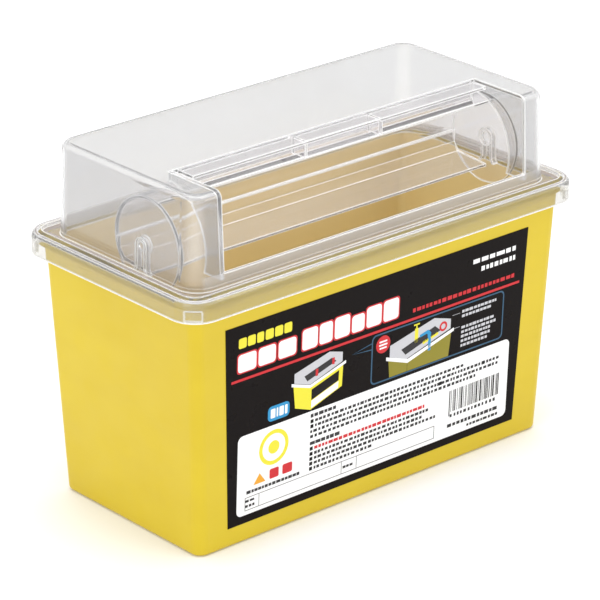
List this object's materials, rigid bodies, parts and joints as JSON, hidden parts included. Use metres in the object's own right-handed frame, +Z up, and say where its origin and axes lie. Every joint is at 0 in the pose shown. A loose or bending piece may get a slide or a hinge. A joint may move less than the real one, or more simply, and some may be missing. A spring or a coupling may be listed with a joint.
{
  "type": "sharps container",
  "caption": "Benchtop sharps container: a tapered plastic tub, a press-on clear lid with a front mouth, and a turning inner drum with a loading tray that closes the mouth.",
  "frame": {"origin": "middle of the underside of the tub", "axes": "+Z up; X along the long side; the labelled front and the mouth face -Y"},
  "size_m": [0.26, 0.134, 0.1895],
  "materials": {
    "tub_plastic": "satin moulded polypropylene, yellow",
    "clear_lid": "clear moulded polypropylene, slightly milky",
    "clear_drum": "clear moulded polypropylene, slightly milky",
    "label": "printed film, satin"
  },
  "bodies": {
    "tub": {"tub": "tub_plastic", "front_label": "label"},
    "lid": {"lid": "clear_lid"},
    "drum": {"drum": "clear_drum"}
  },
  "joints": [
    {"name": "lid_lift", "type": "slide", "parent": "tub", "child": "lid", "axis": [0, 0, 1], "range_m": [0, 0.08]},
    {"name": "drum_turn", "type": "hinge", "parent": "lid", "child": "drum", "pos_m": [0, -0.0139, 0.1539], "axis": [1, 0, 0], "range_deg": [0, 78]}
  ]
}
